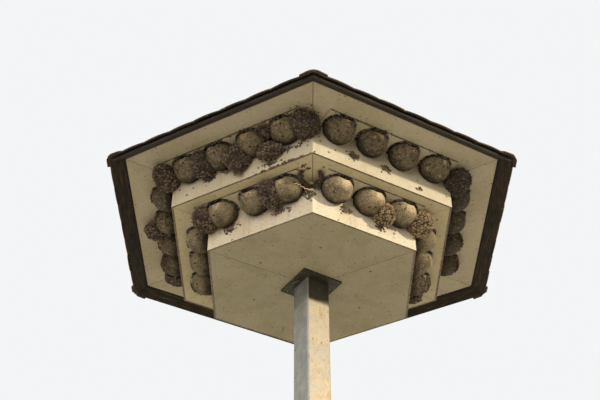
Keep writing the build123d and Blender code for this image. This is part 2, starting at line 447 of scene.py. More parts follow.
@dataclass(frozen=True)
class GalvanisedSteel:
    """Hot-dip galvanised steel, weathered dull: pale grey with a faint crystal pattern and white stains."""

    top: float
    name: str = "galvanised_steel"
    zinc: str = "9C9D96"
    bloom: str = "BBBAB1"
    dull: str = "7F8078"
    stain: str = "6E5432"
    stain_share: float = 0.3
    ochre_and_sunlight: str = "C0A878"
    line: str = "9A7C4C"
    soot_and_shade: str = "2E291D"
    soot_and_shade_depth: float = 155 * MM

    def stain_and_light_one_side(self, pattern: Pattern) -> None:
        """Yellows the sunny side with stain and painted warm sunlight, adds wavy water marks, and paints
        shade with sooty grime at the top under the plate.

        Args:
            pattern: The material being built.
        """
        sunny = pattern.band(pattern.axes(pattern.normal)[0], 0.2, 0.6)
        # Ochre on faces towards the sun: stain, and painted warm sunlight on the sunny side.
        pattern.coat(self.ochre_and_sunlight, sunny, pattern.band(pattern.noise(90, 4, 0.6), 0.3, 0.7, 0.25, 0.75))
        waves = pattern.noise(46, 2, 0.5, pattern.stretch(up=0.35))
        lines = pattern.band(pattern.math("PINGPONG", waves, 0.05), 0.0, 0.02, 1.0, 0.0)
        broken = pattern.band(pattern.noise(60, 2, 0.5), 0.4, 0.6, 0.1, 0.75)
        pattern.coat(self.line, lines, broken, sunny)
        height = pattern.axes(pattern.place)[2]
        # Painted shade under the head plate, with sooty grime, reaching down to the edge of the plate's cast
        # shadow and strongest on the sunny side.
        soot_and_shade = pattern.band(height, self.top - self.soot_and_shade_depth, self.top - 0.8 * self.soot_and_shade_depth)
        pattern.coat(self.soot_and_shade, soot_and_shade, pattern.band(sunny, 0.0, 1.0, 0.35, 0.95))

    def make(self) -> Material:
        """Spangle cells a few centimetres long under a cloudy white bloom, with runs of dirt.

        Returns:
            The finished material.
        """
        pattern = Pattern(self.name, self.zinc)
        spangle = pattern.cells(16)[1]
        bloom = pattern.band(pattern.noise(70, 5, 0.65), 0.4, 0.7)
        runs = pattern.noise(26, 4, 0.65, pattern.stretch(up=0.08))
        pattern.coat(self.dull, spangle, 0.35)
        pattern.coat(self.bloom, bloom, 0.75)
        pattern.coat(self.dull, pattern.band(runs, 0.5, 0.75), 0.5)
        pattern.coat(self.dull, pattern.band(pattern.noise(5, 3, 0.7), 0.4, 0.7, 0.0, 0.35))
        self.stain_and_light_one_side(pattern)
        for size, radius in ((20, 4), (46, 7)):
            pattern.coat(self.stain, pattern.spots(size, radius, self.stain_share), 0.75)
        rough = pattern.band(bloom, 0, 1, 0.48, 0.68)
        return pattern.finish(rough, pattern.noise(22, 6, 0.6), 0.4, metallic=0.3)


@dataclass(frozen=True)
class WoodConcrete:
    """Cast mix of cement and wood chips: grey-brown, matt, with mud and lime below the entrance."""

    name: str = "wood_concrete"
    cement: str = "9C8C6E"
    chip: str = "766849"
    mould: str = "342C1F"
    smear: str = "DBC095"
    lime: str = "D6BC92"
    crust: str = "1C150D"

    def make(self) -> Material:
        """Grains a few millimetres across, dark pits, mould clouds darkened further by ageing and painted
        shade, a pale front of lime and painted sunlight, a pale smear, and a dark band of crust and painted
        shade.

        Returns:
            The finished material.
        """
        pattern = Pattern(self.name, self.cement)
        age = pattern.attribute("age")
        grain = pattern.noise(7, 4, 0.7)
        pattern.coat(self.chip, pattern.band(grain, 0.35, 0.68))
        pattern.coat(self.mould, pattern.band(pattern.noise(46, 4, 0.62), 0.45, 0.66), 0.55)
        # Mould by ageing, which also paints shade on the darker upper bowls and the shaded front-left ones.
        pattern.coat(self.mould, age, 0.4)
        patchy = pattern.band(pattern.noise(20, 4, 0.65), 0.35, 0.6, 0.3, 0.85)
        # Lime below the entrance; strong only on the sunlit front-right lower bowls, where it is painted
        # sunlight as well as lime.
        pattern.coat(self.lime, pattern.attribute("front"), pattern.attribute("paleness"), patchy)
        drips = pattern.noise(11, 4, 0.7, pattern.stretch(up=0.45))
        pattern.coat(self.smear, pattern.attribute("smear"), pattern.band(drips, 0.42, 0.6))
        daubs = pattern.band(pattern.noise(17, 4, 0.62), 0.54, 0.6, 0.0, 0.75)
        daubs = pattern.math("MULTIPLY", daubs, pattern.band(age, 0.2, 1.0, 0.15, 1.0))
        pattern.coat(self.mould, daubs)
        pattern.coat(self.smear, pattern.band(pattern.noise(13, 3, 0.6), 0.6, 0.68, 0.0, 0.5))
        pits = pattern.spots(11, 3.4, 0.55)
        pattern.coat(self.mould, pattern.math("MAXIMUM", pits, pattern.spots(32, 9, 0.4)), 0.85)
        broken = pattern.band(pattern.noise(9, 3, 0.6), 0.2, 0.55, 0.75)
        # Dark band at the rim, the wall and where the surface turns away: crust, and painted contact shade
        # and outline shade.
        pattern.coat(self.crust, pattern.attribute("crust_and_shade_ring"), broken)
        return pattern.finish(0.9, pattern.math("ADD", pattern.math("SUBTRACT", grain, pits), daubs), 1.6)


@dataclass(frozen=True)
class DriedMud:
    """Mud pellets that dried in the air: brown, crumbly and dull, no two pellets the same tone."""

    name: str = "dried_mud"
    dark_mud_and_shade: str = "271F15"
    dry: str = "84705A"
    crumb_and_highlight: str = "AA9472"
    baked_and_sunlit: str = "B99C72"

    def make(self) -> Material:
        """A tone for each pellet, with painted shade in the hollows and pale tops of crumbs and painted
        highlight; old and shaded nests dark, sunlit ones pale.

        Returns:
            The finished material.
        """
        pattern = Pattern(self.name, self.dark_mud_and_shade)
        tone = pattern.noise(46, 4, 0.62, pattern.stretch(up=3))
        damp = pattern.noise(60, 3, 0.6, pattern.stretch(up=2))
        depth = pattern.attribute("hollow")
        age = pattern.attribute("age")
        pattern.coat(self.dry, pattern.band(tone, 0.35, 0.62, 0.25, 1.0))
        pale = pattern.band(tone, 0.45, 0.65, 0.05, 0.35)
        # Pale on the pellets' tops: crumbs, and painted highlight on the raised parts.
        pattern.coat(self.crumb_and_highlight, pattern.band(depth, 0.5, 0.0), pale)
        # Pale where the value is below zero: painted sunlight on the lower front nests, and sun-dried mud.
        pattern.coat(self.baked_and_sunlit, pattern.band(age, 0, -1, 0.0, 0.75))
        # Painted shade in the hollows between pellets.
        pattern.coat(self.dark_mud_and_shade, pattern.band(depth, 0.5, 0.9, 0.0, 0.95))
        pattern.coat(self.dark_mud_and_shade, pattern.band(damp, 0.5, 0.65, 0.0, 0.6))
        # Dark where the value is above zero: painted shade on the upper nests towards the right, and damp old
        # mud.
        pattern.coat(self.dark_mud_and_shade, pattern.band(age, 0, 1, 0.0, 0.55))
        return pattern.finish(0.95, pattern.noise(3, 3, 0.7), 1.2)


@dataclass(frozen=True)
class StainedTimber:
    """Planed softwood under a weathered dark brown stain: grain shows as fine dark and worn lines."""

    soffit_edge: float
    name: str = "stained_timber"
    stain: str = "41382A"
    worn: str = "5C4C37"
    dark_grain_and_shade: str = "19150E"
    dirt_and_shade_width: float = 9 * MM

    def make(self) -> Material:
        """Grain lines a few millimetres apart along each board, painted shade of the joint in the angle at
        the soffit, and painted shade on the outer faces under the tiles.

        Returns:
            The finished material.
        """
        pattern = Pattern(self.name, self.stain)
        sideways = pattern.side_place()
        grain = pattern.noise(5, 4, 0.65, pattern.stretch(along=0.04, place=sideways))
        patches = pattern.band(pattern.noise(120, 4, 0.6, sideways), 0.4, 0.7)
        clean = self.soffit_edge + self.dirt_and_shade_width
        dirt = pattern.band(pattern.axes(sideways)[0], clean - 0.4 * self.dirt_and_shade_width, clean, 1.0, 0.0)
        pattern.coat(self.dark_grain_and_shade, pattern.band(grain, 0.35, 0.65))
        pattern.coat(self.worn, patches, pattern.band(grain, 0.6, 0.35, 0.0, 0.8))
        # Dark band next to the soffit's edge: painted shade of the joint between soffit and eaves board, with
        # some grime.
        pattern.coat(self.dark_grain_and_shade, dirt, 0.9)
        # Outer faces darkened as painted shade from the tiles' overhang.
        pattern.coat(self.dark_grain_and_shade, pattern.faces(CutEdge.OUT), 0.45)
        return pattern.finish(0.9, grain, 0.6)


@dataclass(frozen=True)
class BareTimber:
    """Sawn softwood boards without a finish: pale brown, grain along the board."""

    name: str = "deck_timber"
    early: str = "B89A6E"
    late: str = "8B6B43"

    def make(self) -> Material:
        """Grain lines along each board, wider than on planed timber.

        Returns:
            The finished material.
        """
        pattern = Pattern(self.name, self.early)
        grain = pattern.noise(9, 5, 0.6, pattern.stretch(along=0.05, place=pattern.side_place()))
        pattern.coat(self.late, pattern.band(grain, 0.35, 0.65))
        return pattern.finish(0.75, grain, 0.5)


@dataclass(frozen=True)
class RoofTile:
    """Sanded brown roof tile: a dull body, each tile its own tone, with moss on butts and lichen specks."""

    name: str = "roof_tile"
    body: str = "6B5A4A"
    other: str = "463B30"
    moss: str = "7A6B32"
    lichen: str = "B09C70"

    def make(self) -> Material:
        """Tones by tile, sand grains a millimetre or two across, moss in clouds.

        Returns:
            The finished material.
        """
        pattern = Pattern(self.name, self.body)
        sand = pattern.noise(3, 3, 0.7)
        moss = pattern.band(pattern.noise(60, 5, 0.65), 0.55, 0.72)
        pattern.coat(self.other, pattern.attribute("tone"))
        pattern.coat(self.other, pattern.band(sand, 0.4, 0.7, 0.0, 0.4))
        pattern.coat(self.moss, moss, pattern.attribute("butt"))
        pattern.coat(self.lichen, pattern.spots(30, 7, 0.45), 0.75)
        return pattern.finish(0.9, sand, 0.8)


@dataclass(frozen=True)
class WeatheredZinc:
    """Folded zinc sheet, dulled by weather: mid grey with pale clouds."""

    name: str = "sheet_zinc"
    sheet: str = "6E6F6C"
    pale: str = "97978F"

    def make(self) -> Material:
        """Broad pale clouds on an even grey.

        Returns:
            The finished material.
        """
        pattern = Pattern(self.name, self.sheet)
        pattern.coat(self.pale, pattern.band(pattern.noise(60, 5, 0.6), 0.4, 0.7))
        return pattern.finish(0.5, pattern.noise(30, 4, 0.5), 0.3, metallic=0.8)


@dataclass(frozen=True)
class DryStraw:
    """Dry grass stalk: pale yellow-brown, slightly shiny along its length."""

    name: str = "dry_straw"
    stalk: str = "8E7A4A"
    joint: str = "54452A"
    fresh: str = "E6C593"

    def make(self) -> Material:
        """Darker stretches a few centimetres apart; a fresh stalk is pale all along.

        Returns:
            The finished material.
        """
        pattern = Pattern(self.name, self.stalk)
        pattern.coat(self.joint, pattern.band(pattern.noise(25, 2, 0.5), 0.45, 0.6))
        pattern.coat(self.fresh, pattern.attribute("paleness"))
        return pattern.finish(0.6, pattern.noise(2, 2, 0.5), 0.2)


class Finishes:
    """All finishes of the tower, each made once."""

    def __init__(self, measures: Measures) -> None:
        """Makes every material."""
        self.board = FacedBoard().make()
        self.floor_board = FacedBoard("floor_board", cream="C0B594", worn="ADA27F").make()
        wall = {"edge": CutEdge.DOWN, "core": "4F4129", "core_share": 0.85, "speck_share": 1.6}
        self.upper_wall = FacedBoard("upper_wall_board", **wall).make()
        self.lower_wall = FacedBoard("lower_wall_board", cream="EADCBE", worn="D9C9A7", **wall).make()
        self.ledge_board = FacedBoard("ledge_board", cream="DFD0A5", worn="CEBE95").make()
        self.nest_boards = {
            tier: NestBoard(f"{tier.value}_nest_board", CutEdge.OUT, core="15100A", core_share=1.0,
                            face=measures.face(tier), bowls=bowls).make()
            for tier, bowls in BowlShape().counts
        }
        self.steel = GalvanisedSteel(measures.post_top).make()
        self.head_steel = GalvanisedSteel(measures.floor, "head_steel", zinc="4C4A38", bloom="5E5A45",
                                          dull="33322A", stain="A58D63", stain_share=0.45).make()
        self.concrete = WoodConcrete().make()
        self.mud = DriedMud().make()
        self.stained = StainedTimber(measures.soffit_edge).make()
        self.bare = BareTimber().make()
        self.tile = RoofTile().make()
        self.zinc = WeatheredZinc().make()
        self.straw = DryStraw().make()


class Workbench:
    """Bench work shared by all pieces: selecting, shaping, copying, joining and handing over."""

    @staticmethod
    def clear() -> None:
        """Leaves object mode with nothing selected."""
        if bpy.context.object and bpy.context.object.mode != "OBJECT":
            bpy.ops.object.mode_set(mode="OBJECT")
        bpy.ops.object.select_all(action="DESELECT")

    @classmethod
    def pick(cls, piece: Piece) -> None:
        """Selects one piece and makes it the active one."""
        cls.clear()
        piece.select_set(True)
        bpy.context.view_layer.objects.active = piece

    @classmethod
    @contextmanager
    def editing(cls, piece: Piece, chosen: Callable[[Vector], bool] | None = None) -> Iterator[None]:
        """Holds a piece open in edit mode.

        Args:
            piece: The piece.
            chosen: Says by a vertex's place whether it is selected, or None for all of them.
        """
        cls.pick(piece)
        bpy.ops.object.mode_set(mode="EDIT")
        bpy.ops.mesh.select_all(action="DESELECT" if chosen else "SELECT")
        if chosen:
            bpy.ops.object.mode_set(mode="OBJECT")
            for vertex in piece.data.vertices:
                vertex.select = chosen(vertex.co)
            bpy.ops.object.mode_set(mode="EDIT")
        yield
        bpy.ops.object.mode_set(mode="OBJECT")

    @classmethod
    def cut(cls, piece: Piece, point: Vector, normal: Vector, fill: bool = True) -> None:
        """Cuts away what lies on the far side of a plane."""
        with cls.editing(piece):
            bpy.ops.mesh.bisect(plane_co=point, plane_no=normal, clear_outer=True, use_fill=fill)

    @classmethod
    def modify(cls, piece: Piece, kind: str, **settings: object) -> None:
        """Adds a modifier and applies it.

        Args:
            piece: The piece.
            kind: The modifier's type name.
            settings: The modifier's own properties.
        """
        cls.pick(piece)
        bpy.ops.object.modifier_add(type=kind)
        modifier = piece.modifiers[-1]
        for name, value in settings.items():
            setattr(modifier, name, value)
        bpy.ops.object.modifier_apply(modifier=modifier.name)

    @classmethod
    def roughen(cls, piece: Piece, kind: str, size_mm: float, depth_mm: float, mid: float = 0.5,
                **settings: float) -> None:
        """Displaces the surface by a pattern of a real size.

        Args:
            piece: The piece.
            kind: The pattern's type name, for clouds or cells.
            size_mm: Size of its patches.
            depth_mm: Depth from its lowest to its highest.
            mid: Height in the pattern that stays where it is.
            settings: The pattern's own properties.
        """
        texture = bpy.data.textures.new(f"{kind.lower()}_{size_mm}", type=kind)
        texture.noise_scale = size_mm * MM
        for name, value in settings.items():
            setattr(texture, name, value)
        cls.modify(piece, "DISPLACE", texture=texture, texture_coords="LOCAL", strength=depth_mm * MM,
                   mid_level=mid)

    @staticmethod
    def copy(piece: Piece, place: Matrix) -> Piece:
        """Copies a piece with its own mesh.

        Args:
            piece: The piece to copy.
            place: Where the copy goes, within its mesh.

        Returns:
            The copy.
        """
        twin = bpy.data.objects.new(piece.name, piece.data.copy())
        bpy.context.collection.objects.link(twin)
        twin.data.transform(place)
        if place.determinant() < 0:
            twin.data.flip_normals()
        return twin

    @classmethod
    def join(cls, parts: list[Piece], name: str) -> Piece:
        """Joins several pieces to one.

        Args:
            parts: The pieces.
            name: Name of the whole.

        Returns:
            The whole.
        """
        cls.clear()
        for part in parts:
            part.select_set(True)
        bpy.context.view_layer.objects.active = parts[0]
        bpy.ops.object.join()
        parts[0].name = name
        return parts[0]

    @staticmethod
    def discard(*parts: Piece) -> None:
        """Deletes bench copies that aren't part of the tower."""
        for part in parts:
            bpy.data.objects.remove(part)

    @classmethod
    def smooth(cls, piece: Piece, degrees: float) -> None:
        """Shades a piece smooth below this angle."""
        cls.pick(piece)
        bpy.ops.object.shade_smooth_by_angle(angle=math.radians(degrees))

    @staticmethod
    def store(piece: Piece, name: str, values: float | list[float]) -> None:
        """Stores one number for each vertex on the mesh.

        Args:
            piece: The piece.
            name: Name of the stored numbers.
            values: A number for each vertex, or the same one for all.
        """
        if not isinstance(values, list):
            values = [values] * len(piece.data.vertices)
        piece.data.attributes.new(name, "FLOAT", "POINT").data.foreach_set("value", values)

    @staticmethod
    def deliver(piece: Piece, material: Material, slot: str, *nodes: str) -> None:
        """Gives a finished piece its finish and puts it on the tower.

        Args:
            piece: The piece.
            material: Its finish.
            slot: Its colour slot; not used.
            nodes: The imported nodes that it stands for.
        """
        piece.data.materials.clear()
        piece.data.materials.append(material)
        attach(piece, "root")
        if nodes:
            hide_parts(*nodes)
        log.info("%s: %d faces", piece.name, len(piece.data.polygons))


@dataclass
class Assembly:
    """A sub-assembly of the tower's dressing, with what all of them line up with and are finished in."""

    measures: Measures
    finishes: Finishes

    def build(self) -> None:
        """Builds every piece of the sub-assembly and puts it on the tower."""
        raise NotImplementedError


@dataclass
class CarriedNodes(Assembly):
    """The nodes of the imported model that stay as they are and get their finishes."""

    def build(self) -> None:
        """Puts each node's finish in its material slots."""
        finishes = self.finishes
        starts = {
            "post": finishes.steel,
            "foot_plate": finishes.steel,
            "head_plate": finishes.head_steel,
            "floor_boards": finishes.floor_board,
            "ledge_boards": finishes.ledge_board,
            "eaves_boards": finishes.stained,
            "roof_deck": finishes.bare,
            "finial": finishes.zinc,
            "upper_nest_boards": finishes.nest_boards[Tier.UPPER],
            "lower_nest_boards": finishes.nest_boards[Tier.LOWER],
            "upper_wall": finishes.upper_wall,
            "lower_wall": finishes.lower_wall,
        }
        for name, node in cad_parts.items():
            found = [material for start, material in starts.items() if name.startswith(start)]
            material = found[0] if found else finishes.board
            node.data.materials.clear()
            node.data.materials.append(material)
            log.info("%s: %s", name, material.name)


@dataclass
class NestBowls(Assembly):
    """Rows of hollow nest bowls, cast in wood concrete, under the nest boards of both tiers.

    The smear and the pale front are patches below the entrance; the front is lime, laid strongly only on the
    sunlit side as painted sunlight. Each is given by its shift to the side, its half width and half height as
    shares of the entrance's, and its strength.
    """

    shape: BowlShape = BowlShape()
    facets: tuple[int, int] = (64, 40)
    kinds: int = 4
    kind_shift: tuple[float, float, float] = (0.37, 0.21, 0)
    lump: float = 45
    lump_depth: float = 7
    wall: float = 11 * MM
    wall_gap: float = 0.3 * MM
    sharp: float = 40
    entrance_width: float = 62 * MM
    entrance_height: float = 24 * MM
    entrance_facets: int = 40
    dirt_drop: float = 1.3
    smear: tuple[float, ...] = (8 * MM, 0.35, 1.2, 2.0)
    front: tuple[float, ...] = (16 * MM, 1, 2, 1.8)
    crust_and_shade_ring: float = 1.6
    ring_width: float = 14 * MM
    ring_flatness: float = 1.5
    turned_from: float = 0.3
    size_spans: tuple[tuple[float, float], ...] = ((0.97, 1.0), (0.97, 1.02), (0.96, 1.0))
    upper_ages_and_shade: tuple[float, float] = (0.5, 1.2)
    lower_ages: tuple[float, float] = (0, 0.25)
    damp_age: float = 1.8
    old_age: float = 1.1
    shade_age: float = 0.2
    paleness: float = 1.15
    shaded_paleness: float = 0.2
    seed: int = 11

    def make_bowl(self, kind: int) -> Piece:
        """Shapes one hollow bowl: a ball cut flat at the rim and at the wall, with an entrance.

        Args:
            kind: Number of the casting, which moves its lumps.

        Returns:
            The bowl, its rim at z = 0 and its open back at x = 0.
        """
        Workbench.clear()
        segments, rings = self.facets
        bpy.ops.mesh.primitive_uv_sphere_add(segments=segments, ring_count=rings, radius=1)
        bowl = bpy.context.object
        shape = self.shape
        with Workbench.editing(bowl):
            bpy.ops.transform.resize(value=(shape.half_out, shape.half_along, shape.half_up))
            bpy.ops.transform.translate(value=(shape.out, 0, -shape.drop))
        for normal in (UP, TO_WALL):
            Workbench.cut(bowl, Vector(), normal, fill=False)
        shift = Vector([kind * part for part in self.kind_shift])
        bowl.data.transform(Matrix.Translation(shift))
        Workbench.roughen(bowl, "CLOUDS", self.lump, self.lump_depth)
        bowl.data.transform(Matrix.Translation(-shift))
        Workbench.modify(bowl, "SOLIDIFY", thickness=self.wall, offset=-1)
        self.cut_entrance(bowl)
        for normal in (UP, TO_WALL):
            Workbench.cut(bowl, Vector(), normal)
        Workbench.smooth(bowl, self.sharp)
        marks = zip(*[self.marks_at(vertex) for vertex in bowl.data.vertices])
        for name, strengths in zip(("smear", "front", "crust_and_shade_ring"), marks):
            Workbench.store(bowl, name, list(strengths))
        return bowl

    def cut_entrance(self, bowl: Piece) -> None:
        """Cuts the half-oval entrance down from the front of the rim.

        Args:
            bowl: The bowl.
        """
        Workbench.clear()
        place = (self.shape.reach, 0, 0)
        bpy.ops.mesh.primitive_cylinder_add(vertices=self.entrance_facets, radius=1, depth=self.shape.reach,
                                            location=place, rotation=(0, math.pi / 2, 0))
        cutter = bpy.context.object
        bpy.ops.object.transform_apply(location=False, rotation=True, scale=False)
        with Workbench.editing(cutter):
            bpy.ops.transform.resize(value=(1, self.entrance_width / 2, self.entrance_height),
                                     center_override=place)
        Workbench.modify(bowl, "BOOLEAN", operation="DIFFERENCE", object=cutter, solver="EXACT")
        Workbench.discard(cutter)

    def marks_at(self, vertex: bpy.types.MeshVertex) -> tuple[float, ...]:
        """Strengths of the smear below the entrance, the pale front, and the dark band of crust and painted
        shade at one vertex.

        Args:
            vertex: The vertex.

        Returns:
            Three numbers from 0 to 1.
        """
        place = vertex.co
        marks = []
        for middle, width, height, strength in (self.smear, self.front):
            across = fade(place.y - middle, self.entrance_width * width)
            down = fade(place.z + self.entrance_height * self.dirt_drop, self.entrance_height * height)
            marks.append(min(1.0, strength * across * down) if place.x > self.shape.reach / 2 else 0.0)
        # Near the rim and the wall: crust, and painted contact shade.
        near = self.crust_and_shade_ring - min(-place.z * self.ring_flatness, place.x) / self.ring_width
        # Painted shade where the surface turns sideways or back, which darkens the outline.
        turned = self.crust_and_shade_ring * (self.turned_from - vertex.normal.x)
        return (*marks, min(1.0, max(0.0, near, turned)))

    def hang_bowl(self, castings: list[Piece], tier: Tier, side: Side, number: int, count: int,
                  draw: random.Random) -> Piece:
        """Hangs a copy of one casting in its row, a little different from the others.

        Args:
            castings: The castings to choose from.
            tier: Its tier.
            side: Its side.
            number: Its number in the row.
            count: Number of bowls in the row.
            draw: Source of its differences.

        Returns:
            The bowl.
        """
        along = (number - (count - 1) / 2) * self.shape.spacing
        size = Matrix.Diagonal((*[draw.uniform(*span) for span in self.size_spans], 1))
        flip = Matrix.Diagonal((1, draw.choice((-1, 1)), 1, 1))
        drop = self.measures.rim(tier) - self.measures.ceiling(tier)
        place = self.measures.wall_frame(tier, side) @ Matrix.Translation((self.wall_gap, along, drop))
        bowl = Workbench.copy(draw.choice(castings), place @ size @ flip)
        upper = tier is Tier.UPPER
        # Upper bowls get higher values: mould, and painted shade under the roof.
        age = draw.uniform(*(self.upper_ages_and_shade if upper else self.lower_ages))
        if side is Side.RIGHT and (upper or number == count - 1):
            age = self.damp_age if upper else self.old_age
        if side is Side.FRONT_LEFT and not upper:
            age += self.shade_age
        Workbench.store(bowl, "age", age)
        # Only the sunlit front-right lower bowls get strong lime: painted sunlight as well as lime.
        sunlit_front = side is Side.FRONT_RIGHT and not upper
        Workbench.store(bowl, "paleness", self.paleness if sunlit_front else self.shaded_paleness)
        return bowl

    def build(self) -> None:
        """Copies the castings to every row."""
        castings = [self.make_bowl(kind) for kind in range(self.kinds)]
        draw = random.Random(self.seed)
        for tier, count in self.shape.counts:
            for side in Side:
                row = [self.hang_bowl(castings, tier, side, number, count, draw) for number in range(count)]
                piece = Workbench.join(row, f"{tier.value}_nest_bowls_{side.label}")
                Workbench.deliver(piece, self.finishes.concrete, "wood_concrete",
                                  f"{tier.value}_bowls_{side.label}")
        Workbench.discard(*castings)


@dataclass
class MudNests(Assembly):
    """Nests that house martins built from pellets between the bowls, and the rest of one that broke off."""

    voxel: float = 3.3 * MM
    lump: float = 38.0
    lump_depth: float = 20.0
    pellet: float = 18.5
    pellet_depth: float = 30.0
    pellet_middle: float = 0.14
    pellet_top: float = 0.3
    row_squeeze: float = 2.3
    sharp: float = 70
    tapered_foot: tuple[float, float, float] = (24, 14, -172)
    foot_size: float = 30 * MM
    foot_drop: float = 14 * MM
    taper_reach: float = 110 * MM
    taper: float = 0.4
    turn_width: float = 160 * MM
    corner_share: float = 0.7
    rim_swell: float = 4 * MM
    broken_age: float = 1.6

    def pack_pellets(self, piece: Piece, lump_depth_mm: float) -> None:
        """Turns a smooth surface into level rows of pellets, with broad lumps under them.

        Args:
            piece: The nest.
            lump_depth_mm: Depth of the broad lumps.
        """
        Workbench.roughen(piece, "CLOUDS", self.lump, lump_depth_mm)
        piece.data.transform(Matrix.Diagonal((1, 1, self.row_squeeze, 1)))
        before = [(vertex.co.copy(), vertex.normal.copy()) for vertex in piece.data.vertices]
        Workbench.roughen(piece, "VORONOI", self.pellet, self.pellet_depth, self.pellet_middle, weight_1=-1.0,
                          weight_2=1.0)
        after = piece.data.vertices
        raised = [(vertex.co - place).dot(normal) for vertex, (place, normal) in zip(after, before)]
        piece.data.transform(Matrix.Diagonal((1, 1, 1 / self.row_squeeze, 1)))
        rises = [self.pellet_middle + rise / (self.pellet_depth * MM) for rise in raised]
        Workbench.store(piece, "hollow", [max(0.0, 1 - rise / self.pellet_top) for rise in rises])
        Workbench.smooth(piece, self.sharp)

    def draw_down(self, piece: Piece) -> None:
        """Narrows the upper nest beside the near corner towards its foot, which birds build first.

        Args:
            piece: The nests of the upper tier.
        """
        foot = self.measures.wall_frame(Tier.UPPER, Side.FRONT_LEFT) @ (Vector(self.tapered_foot) * MM)
        soft = {"use_proportional_edit": True, "proportional_edit_falloff": "SMOOTH",
                "proportional_size": self.taper_reach}
        with Workbench.editing(piece, lambda place: (place - foot).length < self.foot_size):
            bpy.ops.transform.resize(value=(self.taper, self.taper, 1), center_override=foot, **soft)
            bpy.ops.transform.translate(value=(0, 0, -self.foot_drop), **soft)

    def age_at(self, place: Vector, most: float) -> float:
        """Ageing and painted shading at one place of a nest: more on the right, and only those at the front
        are painted pale as sunlit.

        Args:
            place: The place.
            most: Ageing and painted shade on the far right, which is below zero where the nests are painted
                pale as sunlit.

        Returns:
            The ageing and painted shading.
        """
        share = min(1.0, max(0.0, self.corner_share + place.x / self.turn_width))
        return 0.0 if most < 0 < place.y else most * share

    def build(self) -> None:
        """Roughens the whole nests of each tier, and what is left of the broken one."""
        # Upper nests darken to the right with ageing and painted shade; lower front nests are painted pale as
        # sunlit.
        for node, most in (("upper_mud_nests", 1.0), ("lower_mud_nests", -1.0), ("broken_mud_nest", None)):
            piece = Workbench.copy(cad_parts[node], Matrix())
            piece.name = f"packed_{node}"
            Workbench.modify(piece, "REMESH", mode="VOXEL", voxel_size=self.voxel)
            if node == "upper_mud_nests":
                self.draw_down(piece)
            if most is None:
                Workbench.modify(piece, "DISPLACE", strength=self.rim_swell, mid_level=0.0)
                self.pack_pellets(piece, self.lump_depth / 2)
                Workbench.store(piece, "age", self.broken_age)
            else:
                self.pack_pellets(piece, self.lump_depth)
                ages = [self.age_at(vertex.co, most) for vertex in piece.data.vertices]
                Workbench.store(piece, "age", ages)
            Workbench.deliver(piece, self.finishes.mud, MUD_SLOT, node)


@dataclass(frozen=True)
class Splat:
    """One patch of mud, in millimetres.

    Its middle lies along the wall from the wall's middle, down from the boards over it and out from its face.
    Width and height say how far its pellets spread, and scatter how far they do outward. Where bowl is given,
    they stick to the bowl whose middle lies there along the wall.
    """

    along: float
    down: float
    width: float
    height: float
    pellets: int
    out: float = 0
    scatter: float = 0
    bowl: float | None = None


